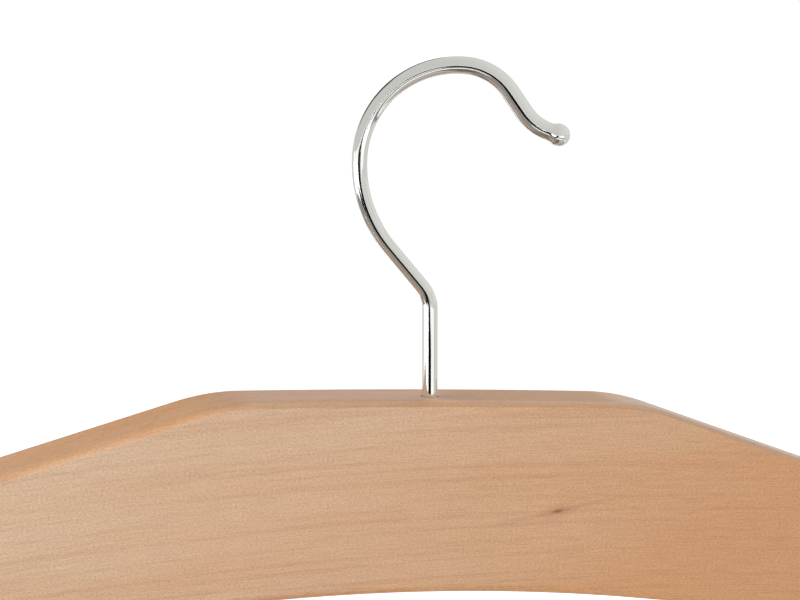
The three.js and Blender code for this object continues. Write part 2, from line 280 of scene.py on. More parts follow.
def lacquered_wood(name, climb=0.0, bow=0.0, tone_and_light_drift=(0, 0, 0.5), face=None, knot=None):
    finish, tree = new_finish(name)
    place = add(tree, "TexCoord").outputs["Object"]
    mm = add(tree, "VectorMath", {0: place, "Scale": 1 / MM}, operation="SCALE")
    noise = grain_noises(tree, mm, climb, bow)
    warm = warm_tone_and_painted_light(tree, mm, noise["clouds"], tone_and_light_drift, face)
    colour = add(tree, "Mix", {0: warm, 6: wood_pale, 7: wood_warm}, data_type="RGBA")
    streaks = add(tree, "MapRange", {
        "Value": noise["streaks"], "From Min": streak_start, "From Max": streak_full,
        "To Max": streak_depth,
    })
    colour = add(tree, "Mix", {0: streaks, 6: colour, 7: wood_streak}, data_type="RGBA")
    if knot:
        colour = knotted(tree, colour, mm, knot)
    for layer, depth in fine_shading.items():
        shade = add(tree, "MapRange", {"Value": noise[layer], "To Min": 1 + depth, "To Max": 1 - depth})
        colour = add(tree, "VectorMath", {0: colour, "Scale": shade}, operation="SCALE")

    relief = add(tree, "Bump", {"Height": noise["fibres"], "Strength": 0.05, "Distance": 0.05 * MM})
    gloss = add(tree, "MapRange", {"Value": noise["fibres"], "To Min": 0.42, "To Max": 0.58})
    skin = add(tree, "BsdfPrincipled", {
        "Base Color": colour,
        "Roughness": gloss,
        "IOR": 1.5,
        "Normal": relief,
        "Coat Weight": 0.6,
        "Coat Roughness": 0.12,
    })
    add(tree, "OutputMaterial", {0: skin})
    return finish


pin_knot = (35.5, -12, -30.2)  # on the front, from the top of the head
# Paler on the left and more orange on the right: partly the board's own tone, partly painted light.
board_tone_and_light_drift = (0.0045, -0.006, 0.34)  # per mm along x and z, and at the stem's foot
head_wood = lacquered_wood(
    "lotus_wood_head_lacquered",
    climb=0.05, bow=0.00035, tone_and_light_drift=board_tone_and_light_drift, face=head_high.y, knot=pin_knot,
)
bar_wood = lacquered_wood("lotus_wood_bar_lacquered")
print("wood finishes:", head_wood.name, bar_wood.name)

# %% [markdown]
# ## Chrome plate
# The hook, the frame and the visible fittings are steel, polished and plated with nickel and chrome.
# Chrome has almost no colour of its own: it shows the room. Its mirror is broken only by faint wipe
# marks, a few millimetres long, which change the roughness a little.

# %% Chrome finish
chrome, tree = new_finish("chrome_plated_steel")
place = add(tree, "TexCoord").outputs["Object"]
wipe_size = 4 * MM
wipes = add(tree, "TexNoise", {"Vector": place, "Scale": 1 / wipe_size, "Detail": 4})
gloss = add(tree, "MapRange", {"Value": wipes, "To Min": 0.03, "To Max": 0.1})
plate = {"Base Color": linear("#f1f1ee"), "Metallic": 1, "Roughness": gloss}
mirror = add(tree, "BsdfPrincipled", plate)
add(tree, "OutputMaterial", {0: mirror})
print("metal finish:", chrome.name)

# %% [markdown]
# ## Zinc-plated steel
# Bush, washer, pins and screws are turned steel with a thin bluish zinc plate. The tool's marks and the
# plate's crystals are finer than a pixel. Drawn 0.3 and 0.8 mm wide, they show as a soft satin.

# %% Zinc finish
zinc, tree = new_finish("zinc_plated_turned_steel")
place = add(tree, "TexCoord").outputs["Object"]
mark_size, crystal_size = 0.3 * MM, 0.8 * MM
marks = add(tree, "TexNoise", {"Vector": place, "Scale": 1 / mark_size, "Detail": 2})
crystals = add(tree, "TexNoise", {"Vector": place, "Scale": 1 / crystal_size, "Detail": 3})
tint = add(tree, "Mix", {0: crystals, 6: linear("#a2a7ac"), 7: linear("#c3c6c6")}, data_type="RGBA")
gloss = add(tree, "MapRange", {"Value": marks, "To Min": 0.22, "To Max": 0.42})
satin = add(tree, "BsdfPrincipled", {"Base Color": tint, "Metallic": 1, "Roughness": gloss})
add(tree, "OutputMaterial", {0: satin})
print("metal finish:", zinc.name)

# %% [markdown]
# ## White nylon
# The slip rings under the hinge eyes are moulded nylon: a warm white with a fine spark-eroded texture
# from the mould, here drawn with a 0.4 mm grit, and a soft sheen.

# %% Nylon finish
nylon, tree = new_finish("white_nylon_moulded")
place = add(tree, "TexCoord").outputs["Object"]
grit_size = 0.4 * MM
grit = add(tree, "TexNoise", {"Vector": place, "Scale": 1 / grit_size, "Detail": 2})
tint = add(tree, "Mix", {0: grit, 6: linear("#e2e0d8"), 7: linear("#f0eee8")}, data_type="RGBA")
relief = add(tree, "Bump", {"Height": grit, "Strength": 0.2, "Distance": 0.05 * MM})
gloss = add(tree, "MapRange", {"Value": grit, "To Min": 0.38, "To Max": 0.55})
moulded = add(tree, "BsdfPrincipled", {
    "Base Color": tint,
    "Roughness": gloss,
    "IOR": 1.53,
    "Normal": relief,
})
add(tree, "OutputMaterial", {0: moulded})
print("plastic finish:", nylon.name)

# %% [markdown]
# ## Clear vinyl
# The grip sleeves are extruded from soft see-through PVC. The wood shows through it, a little milky,
# and the extruded ribs catch the light as fine lines along the bar. Faint flow lines from the die run
# along the sleeve too, about 1 mm wide.

# %% Vinyl finish
vinyl, tree = new_finish("clear_vinyl_extruded")
place = add(tree, "TexCoord").outputs["Object"]
flow_length, flow_width = 60 * MM, 1 * MM
vinyl_cover = 0.18  # how much of the wood behind it the vinyl hides
stretch = (1 / flow_length, 1 / flow_width, 1 / flow_width)
drawn = add(tree, "VectorMath", {0: place, 1: stretch}, operation="MULTIPLY")
flow = add(tree, "TexNoise", {"Vector": drawn, "Scale": 1, "Detail": 2})
tint = add(tree, "Mix", {0: flow, 6: linear("#e6e5de"), 7: linear("#f6f6f2")}, data_type="RGBA")
gloss = add(tree, "MapRange", {"Value": flow, "To Min": 0.12, "To Max": 0.3})
clear = add(tree, "BsdfPrincipled", {
    "Base Color": tint,
    "Roughness": gloss,
    "IOR": 1.53,
    "Alpha": vinyl_cover,
})
add(tree, "OutputMaterial", {0: clear})
print("plastic finish:", vinyl.name)

# %% [markdown]
# ## Shapes and eased corners
# A shape is a list of points and a list of faces, in mm. Most pieces are drawn as a row of loops of
# points, so one function puts a skin over such a row. Real corners are never sharp, so `eased` rounds
# them: each becomes a short curve that starts a given reach before it.

# %% Helpers for shapes
most_of_side = 0.45  # an eased corner takes at most this share of each of its sides


def skinned(loops, closed=False, capped=False):
    # A loop of one point is a tip.
    points, rings, faces = [], [], []
    for loop in loops:
        rings.append(range(len(points), len(points) + len(loop)))
        points += loop
    sides = max(len(ring) for ring in rings)
    for low, high in zip(rings, rings[1:] + rings[:1] if closed else rings[1:]):
        for i in range(sides):
            j = (i + 1) % sides
            face = [low[i % len(low)], low[j % len(low)], high[j % len(high)], high[i % len(high)]]
            faces.append(list(dict.fromkeys(face)))
    caps = [list(rings[0])[::-1], list(rings[-1])] if capped else []
    return points, [face for face in faces if len(face) > 2] + caps


def eased(profile, reach, closed=False, steps=5):
    points = []
    for i, corner in enumerate(Vector(c) for c in profile):
        if not closed and i in (0, len(profile) - 1):
            points.append(corner)
            continue
        before = Vector(profile[i - 1]) - corner
        after = Vector(profile[(i + 1) % len(profile)]) - corner
        cut = min(reach, most_of_side * before.length, most_of_side * after.length)
        start, stop = corner + cut * before.normalized(), corner + cut * after.normalized()
        for step in range(steps + 1):
            t = step / steps
            points.append(start.lerp(corner, t).lerp(corner.lerp(stop, t), t))
    return points


print("an eased triangle has", len(eased([(0, 0), (1, 0), (0, 1)], 0.1, closed=True)), "points")

# %% [markdown]
# ## Turned shapes
# Most fittings of a hanger are turned on a lathe. A turned piece is a profile of (radius, height)
# corners, swept round an axis. Blender's Screw modifier could sweep it, but the ribs of the sleeves
# change the radius with the angle, so the loops of points are made here.

# %% Helpers for turned shapes
on_axis = 1e-6  # a loop with a smaller radius is one point


def turned(profile, edge=0, closed=False, sides=64, radius_at=None):
    loops = []
    for radius, height in eased(profile, edge, closed) if edge else profile:
        loop = []
        for i in range(sides if radius > on_axis else 1):
            angle = 2 * pi * i / sides
            reach = radius_at(radius, angle) if radius_at else radius
            loop.append(Vector((reach * cos(angle), reach * sin(angle), height)))
        loops.append(loop)
    return skinned(loops, closed)


def pin_profile(radius, low, high):
    return [(0, low), (radius, low), (radius, high), (0, high)]


def ring_profile(inner, outer, low, high):
    return [(inner, low), (outer, low), (outer, high), (inner, high)]


def laid(shape, axis, offset=(0, 0, 0)):
    turn = {"x": lambda p: (p.z, p.y, -p.x), "y": lambda p: (p.x, p.z, -p.y), "z": tuple}[axis]
    return [Vector(turn(p)) + Vector(offset) for p in shape[0]], shape[1]


print("a plain turned pin has", len(turned(pin_profile(1, 0, 1))[0]), "points")

# %% [markdown]
# ## From a shape to a piece
# `new_object` turns a shape into a Blender object. `worked` joins it with others or cuts it by boolean
# modifiers, as a drill does, and welds away the slivers that they leave. `finish_piece` shades a piece
# smooth except at its true edges and hands it over to the frame: the piece rides on the body of the
# node that it replaces.

# %% Helpers for pieces
bodies = frame["record"]["behaviour"]["bodies"]
body_of = {node: body for body, nodes in bodies.items() for node in nodes}
sliver = 0.0002 * MM  # a boolean can leave edges shorter than this
sharp_edge = radians(32)


def new_object(name, shape):
    mesh = bpy.data.meshes.new(name)
    mesh.from_pydata([p * MM for p in shape[0]], [], shape[1])
    return in_scene(name, mesh)


def worked(piece, operation, *tools):
    for tool in tools:
        step = piece.modifiers.new("cut", "BOOLEAN")
        step.operation, step.object, step.solver = operation, tool, "EXACT"
    ready = piece.evaluated_get(bpy.context.evaluated_depsgraph_get())
    mesh = bpy.data.meshes.new_from_object(ready)
    cleaned = bmesh.new()
    cleaned.from_mesh(mesh)
    bmesh.ops.remove_doubles(cleaned, verts=cleaned.verts, dist=sliver)
    bmesh.ops.dissolve_degenerate(cleaned, edges=cleaned.edges, dist=sliver)
    cleaned.to_mesh(mesh)
    cleaned.free()
    piece.modifiers.clear()
    piece.data = mesh
    for tool in tools:
        bpy.data.objects.remove(tool)
    return piece


def finish_piece(piece, node, finish, place=(0, 0, 0)):
    mesh = piece.data
    mesh.name = piece.name
    mesh.polygons.foreach_set("use_smooth", [True] * len(mesh.polygons))
    mesh.set_sharp_from_angle(angle=sharp_edge)
    mesh.materials.clear()
    mesh.materials.append(finish)
    piece.location = Vector(place) * MM
    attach(piece, body_of[node])
    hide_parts(node)
    return piece


print("bodies:", sorted(bodies))

# %% [markdown]
# ## Bent wire
# The hook and the frame are both bent from round steel. A Blender curve with a bevel could draw them,
# but the hook also swells into its ball and ends in a rivet head, so each is a tube with its own radius
# at every section. The wire is followed like a turtle: straight runs, and turns of a given radius and
# angle, in the plane of x and z.

# %% Helpers for bent wire
straight_up = pi / 2
degrees_per_step = 3


def followed(moves, x, z, heading):
    sections = [(Vector((x, 0, z)), heading)]
    for size_of_move, turn in moves:
        start, first = sections[-1]
        steps = max(1, round(abs(turn) / degrees_per_step))
        for step in range(1, steps + 1):
            now = first + radians(turn) * step / steps
            side = copysign(size_of_move, turn)
            bend = Vector((sin(now) - sin(first), 0, cos(first) - cos(now)))
            run = Vector((cos(now), 0, sin(now)))
            sections.append((start + (side * bend if turn else size_of_move * run), now))
    return sections


def tube(sections, sides):
    loops = []
    for middle, heading, radius in sections:
        across, deep = Vector((sin(heading), 0, -cos(heading))), Vector((0, 1, 0))
        angles = [2 * pi * i / sides for i in range(sides if radius > on_axis else 1)]
        loops.append([middle + radius * (cos(a) * across + sin(a) * deep) for a in angles])
    return skinned(loops)


print("a quarter turn has", len(followed([(1, 90)], 0, 0, straight_up)), "sections")

# %% [markdown]
# ## The hook
# The hook was bent cold round pegs: up out of the head, a short turn to the left, a wide turn round the
# back, a tighter one over the crest, and a last one outwards to the ball. The pegs pressed the wire a
# little, so it grows wider the further it has turned. Its lower end is headed over like a rivet.

# %% Bend the hook
wire_radius, wire_sides = 2.15, 80
wire_growth = 0.17  # of the radius, in mm per radian of turn
rivet_radius, rivet_height, rivet_chamfer = 3.9, 2.2, 0.6
stem_end = corners("hook")[0].z - stem_foot.z
stem_rise = 0.8  # of the first run's end above the head
bends = [  # run length or bend radius in mm, turn in degrees, to the left when positive
    (stem_rise - stem_end - rivet_height, 0),
    (9.8, 3.4),
    (22.9, 0),
    (9.8, 39.6),
    (13.9, 0),
    (35.7, -43),
    (26.6, -91.7),
    (16.3, -50.7),
    (6.8, 0),
    (13.8, 36.2),
]


def grown(heading):
    return wire_radius + wire_growth * (straight_up - heading)


path = followed(bends, 0, stem_end + rivet_height, straight_up)
wire = [(point, heading, grown(heading)) for point, heading in path]
rivet = [
    (stem_end, 0),
    (stem_end, rivet_radius - rivet_chamfer),
    (stem_end + rivet_chamfer, rivet_radius),
    (stem_end + rivet_height, rivet_radius),
]
head_of_rivet = [(Vector((0, 0, z)), straight_up, radius) for z, radius in rivet]
print(f"wire: {2 * wire_radius:.1f} mm at the stem, {2 * wire[-1][2]:.1f} mm at the tip")

# %% [markdown]
# ## The hook's ball
# The tip is upset into a ball, so that it doesn't catch on cloth. The ball is more sections of the same
# tube. Where the wire swells into it, wire and ball are blended with a small fillet. The swell starts a
# little before the wire's last bend ends, so the wire's own sections there are left out.

# %% Add the ball and make the hook
ball_radius, ball_steps = 3.1, 24
tip_run = 2.9  # from the last bend to the ball's middle
swell_start = -1.25 * ball_radius
neck_fillet = 0.35
hook_angle = radians(-20)  # at rest the hook stands square to the camera

last, tip_heading = path[-1]
tip_way = Vector((cos(tip_heading), 0, sin(tip_heading)))
tip_radius = grown(tip_heading)
ball = []
for step in range(ball_steps + 1):
    way = swell_start + (ball_radius - swell_start) * sin(step / ball_steps * pi / 2)
    dome = sqrt(max(ball_radius**2 - way**2, 0))
    swell = hypot(tip_radius - dome, neck_fillet)
    radius = (tip_radius + dome + swell) / 2 if way < 0 else dome
    ball.append((last + (tip_run + way) * tip_way, tip_heading, radius))

overlap = -(tip_run + swell_start)
wire = [section for section in wire if (section[0] - last).length > overlap]
hook_points, hook_faces = tube(head_of_rivet + wire + ball, wire_sides)
hook_turn = Matrix.Rotation(hook_angle, 3, "Z")
hook = new_object("chromed_hook", ([hook_turn @ point for point in hook_points], hook_faces))
finish_piece(hook, "hook", chrome, stem_foot)
print("hook wire:", len(hook.data.vertices), "points")

# %% [markdown]
# ## The swivel's fittings
# The stem turns in a steel tube that is pressed into the head from below. Under it a washer rests on
# the stem's riveted end, and a wooden plug closes the pocket. Of these only the plug's face is seen,
# from below: the tube ends inside the head, so that bare wood goes round the stem.

# %% Turn the swivel's fittings
washer_low, washer_high = corners("hook_washer")
bush_low, bush_high = corners("hook_bush")
plug_low, plug_high = corners("hook_plug")
bore_of_bush = 2.4
steel_edge, plug_edge = 0.3, 0.4
for name, node, low, high in (
    ("steel_bush", "hook_bush", bush_low, bush_high),
    ("steel_washer", "hook_washer", washer_low, washer_high),
):
    profile = ring_profile(bore_of_bush, high.x, low.z - stem_foot.z, high.z - stem_foot.z)
    fitting = new_object(name, turned(profile, steel_edge, closed=True))
    finish_piece(fitting, node, zinc, stem_foot)
plug_profile = pin_profile(plug_high.x, plug_low.z - stem_foot.z, plug_high.z - stem_foot.z)
plug = new_object("wood_plug", turned(plug_profile, plug_edge))
finish_piece(plug, "hook_plug", head_wood, stem_foot)
print("bush", round(2 * bush_high.x, 1), "mm, plug", round(2 * plug_high.x, 1), "mm across")

# %% [markdown]
# ## The head's outline
# A head like this is sawn from a 24 mm board and shaped on a spindle moulder. Its outline is drawn once
# for the right half and mirrored: a barely crowned top, a straight shoulder, a rounded end, the foot
# with the post's hole, and the shallow arch. Each round is a curve with one control point, the corner.

# %% Helpers for curves
corner_steps = 12


def curved(start, control, stop, steps):
    a, b, c = Vector(start), Vector(control), Vector(stop)
    return [a.lerp(b, i / steps).lerp(b.lerp(c, i / steps), i / steps) for i in range(steps + 1)]


def rounded_corner(before, corner, after, reach):
    corner = Vector(corner)
    start = corner + reach * (Vector(before) - corner).normalized()
    stop = corner + reach * (Vector(after) - corner).normalized()
    return curved(start, corner, stop, corner_steps)


print("a rounded corner has", corner_steps + 1, "points")

# %% Draw the head's outline
head_height = 52.9
top_half, top_crown = 60.6, 0.6
shoulder_slope = tan(radians(17.6))
shoulder_blend = 9
head_half = head_high.x
foot_z = head_low.z - head_high.z
end_round, foot_round, inside_round = 16, 9, 5
foot_inside, foot_slant, foot_step = post_x - 16, 9, 8
crown_steps, arch_steps = 16, 40
least_step = 0.01  # points closer than this are one


def shoulder_at(x):
    return -top_crown - (x - top_half) * shoulder_slope


def half_outline():
    crown_end = top_half - shoulder_blend
    crown_z = -top_crown * (crown_end / top_half) ** 2
    crown_slope = 2 * crown_z / crown_end
    break_x = shoulder_at(0) - crown_z + crown_slope * crown_end
    break_x /= crown_slope + shoulder_slope
    shoulder = (top_half + shoulder_blend, shoulder_at(top_half + shoulder_blend))
    outer_top, outer_foot = (head_half, shoulder_at(head_half)), (head_half, foot_z)
    inner_foot, arch_end = (foot_inside, foot_z), (foot_inside - foot_slant, foot_z + foot_step)
    reach = min(inside_round, hypot(foot_slant, foot_step) / 2)
    arch_x = arch_end[0] - reach
    arch_drop = -head_height - arch_end[1]
    arch_start = (arch_x, -head_height - arch_drop * (arch_x / arch_end[0]) ** 2)
    points = curved((0, 0), (crown_end / 2, 0), (crown_end, crown_z), crown_steps)
    points += curved((crown_end, crown_z), (break_x, shoulder_at(break_x)), shoulder, corner_steps)
    points += rounded_corner(shoulder, outer_top, outer_foot, end_round)
    points += rounded_corner(outer_top, outer_foot, inner_foot, foot_round)
    points += rounded_corner(outer_foot, inner_foot, arch_end, reach)
    points += rounded_corner(inner_foot, arch_end, arch_start, reach)
    points += curved(arch_start, (arch_x / 2, -head_height), (0, -head_height), arch_steps)
    kept = points[:1]
    for point in points[1:]:
        if (point - kept[-1]).length > least_step:
            kept.append(point)
    return kept


right_half = half_outline()
outline = right_half + [Vector((-p.x, p.y)) for p in right_half[-2:0:-1]]
print("head outline:", len(outline), "points")

# %% [markdown]
# ## The head's edges
# The cutter leaves the top edge in front low and wide, with a fine arris on the face. The one at the
# back is only lightly eased, and the lower edges are plain rounds. Each edge is an arc of its own
# height and depth, and at the head's ends the upper one passes into the lower one. A Bevel modifier
# makes all edges alike, so here the edge is a stack of outlines, each drawn in a little further.

# %% Shape the board
top_edges = {-1: (1, 5.5), 1: (0.7, 1.2)}  # height and depth, in front and at the back
lower_edge = (2.8, 2.8)
edge_steps = 8
half_thickness = head_high.y
mitre_limit = 0.5  # keeps the way in short at a sharp corner


def inward(outline):
    normals = []
    for i, point in enumerate(outline):
        ahead = (outline[(i + 1) % len(outline)] - point).normalized()
        behind = (point - outline[i - 1]).normalized()
        normal = (Vector((ahead.y, -ahead.x)) + Vector((behind.y, -behind.x))).normalized()
        normals.append(normal / max(mitre_limit, normal.dot(Vector((ahead.y, -ahead.x)))))
    return normals


def edge_cut(share, height, depth):
    cutter = (height**2 + depth**2) / (2 * height)
    angle = share * asin(min(1, depth / cutter))
    return Vector((cutter * (1 - cos(angle)), depth - cutter * sin(angle)))


def board(outline):
    ways_in = inward(outline)
    ups = [(1 - way.normalized().y) / 2 for way in ways_in]
    shares = [1 - i / edge_steps for i in range(edge_steps + 1)]
    loops = []
    for face, share in [(-1, s) for s in shares] + [(1, s) for s in reversed(shares)]:
        high, low = edge_cut(share, *top_edges[face]), edge_cut(share, *lower_edge)
        loop = []
        for point, way, facing_up in zip(outline, ways_in, ups):
            inset, depth = low.lerp(high, facing_up)
            moved = point + inset * way
            loop.append(Vector((moved.x, face * (half_thickness - depth), moved.y)))
        loops.append(loop)
    return skinned(loops, capped=True)


wood_head = new_object("wood_head", board(outline))
print(f"board: {2 * head_half:.0f} x {2 * half_thickness:.0f} mm")

# %% [markdown]
# ## The head's holes
# The stem, the bush and the plug share one hole, in three widths. Each foot has a hole for its post and
# a cross hole for the pin that holds it. They are cut with boolean modifiers, and a Weighted Normal
# modifier keeps the flat faces evenly shaded up to the holes.

# %% Bore the head
hole_gap, end_gap = 0.2, 0.3  # between a hole and what sits in it, beside it and at its end
drill_past, drill_back = 9, 20  # how far a drill runs past the wood, and to where at the back
pocket_top = bush_low.z - stem_foot.z
post_bore = post_radius + hole_gap
pin_low, pin_high = corners("cross_pin_left")
pin_radius = (pin_high.z - pin_low.z) / 2
pin_z = (pin_high.z + pin_low.z) / 2 - stem_foot.z


def bore(name, radius, low, high, x=0.0, axis="z", z=0.0):
    return new_object(name, laid(turned(pin_profile(radius, low, high)), axis, (x, 0, z)))


def pin_hole(x, z):
    return bore("pin_hole", pin_radius + hole_gap, pin_low.y - end_gap, drill_back, x, "y", z)


below = -head_height - drill_past
holes = [
    bore("stem_hole", bore_of_bush, -head_height, drill_past),
    bore("bush_hole", bush_high.x + hole_gap, below, bush_high.z - stem_foot.z + end_gap),
    bore("plug_hole", plug_high.x + hole_gap, below, pocket_top),
]
post_top = rod_high.z - stem_foot.z + end_gap
for x in (-post_x, post_x):
    holes.append(bore("post_hole", post_bore, foot_z - drill_past, post_top, x))
    holes.append(pin_hole(x, pin_z))
worked(wood_head, "DIFFERENCE", *holes)
finish_piece(wood_head, "head", head_wood, stem_foot)
wood_head.modifiers.new("even_shading", "WEIGHTED_NORMAL").keep_sharp = True
print("head:", len(holes), "holes,", len(wood_head.data.vertices), "points")

# %% [markdown]
# ## The frame
# The frame is one 6 mm rod, bent into a U on a former of 20 mm radius. Its ends stand in the head's
# feet, each held by a cross pin that was driven in from the back. It is made with the hook's turtle.

# %% Bend the rod
bend_radius, rod_sides = 20, 48
rod_bottom = rod_low.z + post_radius
post_run = rod_high.z - rod_bottom - bend_radius
post, corner, foot = (post_run, 0), (bend_radius, 90), (2 * (post_x - bend_radius), 0)
u_bend = [post, corner, foot, corner, post]
rod_path = followed(u_bend, -post_x, rod_high.z, -straight_up)
rod_wire = [(point, heading, post_radius) for point, heading in rod_path]
rod_ends = [(point, heading, 0) for point, heading in (rod_path[0], rod_path[-1])]
rod = new_object("chromed_rod", tube([rod_ends[0]] + rod_wire + [rod_ends[1]], rod_sides))
worked(rod, "DIFFERENCE", *(pin_hole(x, pin_z + stem_foot.z) for x in (-post_x, post_x)))
finish_piece(rod, "frame_rod", chrome)
print("rod:", len(rod.data.vertices), "points")

# %% [markdown]
# ## Rings and pins
# A cupped ring covers each post's hole in the head. It is pressed from sheet, so its profile is a
# slanted cup: narrow below, with an upright rim against the wood. The cross pins are plain steel.

# %% Fit the rings and the pins
cup_edge, pin_edge = 0.6, 0.4
ring_low, ring_high = corners("ferrule_left")
ring_outer = (ring_high.x - ring_low.x) / 2
rim = ring_high.z - (ring_high.z - ring_low.z) / 3  # the upper third stands upright
cup = [
    (post_bore, ring_low.z),
    ((post_bore + ring_outer) / 2, ring_low.z),
    (ring_outer, rim),
    (ring_outer, ring_high.z),
    (post_bore, ring_high.z),
]
pin_shape = turned(pin_profile(pin_radius, pin_low.y, pin_high.y), pin_edge)
for side, x in (("left", -post_x), ("right", post_x)):
    ring = new_object(f"cupped_ring_{side}", turned(cup, cup_edge, closed=True))
    finish_piece(ring, f"ferrule_{side}", chrome, (x, 0, 0))
    pin = new_object(f"steel_pin_{side}", laid(pin_shape, "y"))
    finish_piece(pin, f"cross_pin_{side}", zinc, (x, 0, pin_z + stem_foot.z))
print(f"rings {2 * ring_outer:.1f} mm across, pins {2 * pin_radius:.1f} mm thick")

# %% [markdown]
# ## The hinge eyes
# Each bar hangs in a die-cast fitting: an eye that turns on the left post and a socket that takes the
# bar, cast in one and plated. The eye and the socket are two turned shapes, joined by a boolean union
# and then bored through. All places from here on are measured from the post's axis, at the height of
# the bar. The four tiers are alike, so each shape is made once and used four times.

# %% Make the hinge eye
eye_low, eye_high = corners("pivot_eye_1")
eye_height = eye_high.z - eye_low.z
eye_radius = -post_x - eye_low.x
socket_radius = eye_height / 2
socket_end = eye_high.x + post_x
socket_depth, socket_wall = 18, 1.3
socket_floor = socket_end - socket_depth
bar_bore = socket_radius - socket_wall
neck_radius = socket_radius - 0.4
shoulder_start, shoulder_end = socket_floor - 0.6, socket_floor + 1
mouth_step = 0.6
barrel_edge, socket_edge = 0.9, 1.1

barrel = turned(pin_profile(eye_radius, -eye_height / 2, eye_height / 2), barrel_edge)
socket = turned([
    (0, 0),
    (post_radius, 0),
    (eye_radius, post_radius),
    (neck_radius, shoulder_start),
    (socket_radius, shoulder_end),
    (socket_radius, socket_end),
    (bar_bore - mouth_step, socket_end),
    (0, socket_end - mouth_step),
], socket_edge)
hinge_eye = new_object("hinge_eye", barrel)
worked(hinge_eye, "UNION", new_object("socket", laid(socket, "x")))
worked(
    hinge_eye, "DIFFERENCE",
    bore("post_hole", post_bore, -eye_height, eye_height),
    bore("bar_hole", bar_bore, socket_floor, 2 * socket_end, axis="x"),
)
print("hinge eye:", len(hinge_eye.data.vertices), "points")

# %% [markdown]
# ## The bars
# The bar is a 14 mm dowel, cut to length and eased at both ends, so a plain turned pin does. One end
# is glued into the hinge eye's socket.

# %% Turn the bar
bar_low, bar_high = corners("bar_1")
bar_radius = (bar_high.z - bar_low.z) / 2
bar_start, bar_end = bar_low.x + post_x, bar_high.x + post_x
bar_edge = 0.8
dowel = turned(pin_profile(bar_radius, bar_start, bar_end), bar_edge)
print(f"bar: {2 * bar_radius:.1f} mm thick, {bar_end - bar_start:.0f} mm long")

# %% [markdown]
# ## The grip sleeves
# A ribbed vinyl sleeve is pushed over each bar, so that trousers don't slip. The ribs could be a bump
# in the finish, but the sleeve's ends would stay round. Here they are a wave in its outer radius.

# %% Rib the sleeve
sleeve_low, sleeve_high = corners("grip_sleeve_1")
rib_crest = (sleeve_high.z - sleeve_low.z) / 2
rib_height, rib_count, sides_per_rib = 0.6, 20, 10
sleeve_edge = 0.25
inner_skin = bar_bore + 0.1  # up to this radius the sleeve is round
sleeve_ends = (sleeve_low.x + post_x, sleeve_high.x + post_x)


def ribbed(radius, angle):
    if radius < inner_skin:
        return radius
    return radius - rib_height / 2 * (1 - cos(rib_count * angle))


sleeve_profile = ring_profile(bar_bore, rib_crest, *sleeve_ends)
sleeve_sides = rib_count * sides_per_rib
sleeve = turned(sleeve_profile, sleeve_edge, closed=True, sides=sleeve_sides, radius_at=ribbed)
print("sleeve:", rib_count, "ribs,", len(sleeve[0]), "points")

# %% [markdown]
# ## The end caps
# A turned cap closes the bar's free end. Its stud lies on the rest. One profile draws the cup that
# goes over the bar, the cone and the stud.

# %% Turn the cap
cap_low, cap_high = corners("tip_cap_1")
cup_start, stud_end = cap_low.x + post_x, cap_high.x + post_x
cap_base, cap_rim, cap_edge = 3, 0.4, 1.2
cup_floor = bar_end + end_gap
cup_end = cup_floor + cap_base
stud_radius = 3
end_cap = turned([
    (0, cup_floor),
    (bar_bore, cup_floor),
    (bar_bore, cup_start),
    (socket_radius, cup_start),
    (socket_radius, cup_floor + cap_rim),
    (stud_radius, cup_end),
    (stud_radius, stud_end),
    (0, stud_end),
], cap_edge)
print("cap:", len(end_cap[0]), "points")

# %% [markdown]
# ## Slip rings, collars and grub screws
# A collar on the left post carries each hinge eye, with a nylon slip ring between them. A grub screw
# with a hexagon socket fixes the collar to the post. The rests on the right post have the same screw.

# %% Turn the ring, the collar and the screw
slip_low, slip_high = (c.z - bar_heights[1] for c in corners("thrust_washer_1"))
collar_low, collar_high = (c.z - bar_heights[1] for c in corners("collar_1"))
collar_radius = -post_x - corners("collar_1")[0].x
collar_middle = (collar_low + collar_high) / 2
screw_low, screw_high = corners("rest_screw_1")
screw_radius = (screw_high.z - screw_low.z) / 2
screw_start, screw_end = screw_low.x - post_x, screw_high.x - post_x
hex_across, hex_depth = 1.5, 1.2
slip_edge, collar_edge, screw_edge = 0.25, 0.9, 0.3
screw_bore, screw_sides = screw_radius + hole_gap, 48

slip_profile = ring_profile(post_bore, eye_radius, slip_low, slip_high)
slip_ring = turned(slip_profile, slip_edge, closed=True)
collar_profile = ring_profile(post_bore, collar_radius, collar_low, collar_high)
collar = new_object("collar", turned(collar_profile, collar_edge, closed=True))
worked(
    collar, "DIFFERENCE",
    bore("screw_hole", screw_bore, -2 * collar_radius, 0, axis="x", z=collar_middle),
)

hex_radius = hex_across / sqrt(3)
hex_profile = pin_profile(hex_radius, screw_end - hex_depth, screw_end + hex_depth)
screw_profile = pin_profile(screw_radius, screw_start, screw_end)
screw_shape = turned(screw_profile, screw_edge, sides=screw_sides)
grub_screw = new_object("grub_screw", laid(screw_shape, "x"))
hexagon = new_object("hexagon", laid(turned(hex_profile, sides=6), "x"))
worked(grub_screw, "DIFFERENCE", hexagon)
print("collar:", len(collar.data.vertices), "points, screw:", len(grub_screw.data.vertices), "points")

# %% [markdown]
# ## The bar rests
# On the right post sits a ring with a shelf under the stud and a stop behind it, so the bar can come
# out only to the front. The shelf and the stop are one bent tongue: an L seen along the bar, drawn as
# an outline and given rounded edges in the same way as the wooden head, then joined to the ring.

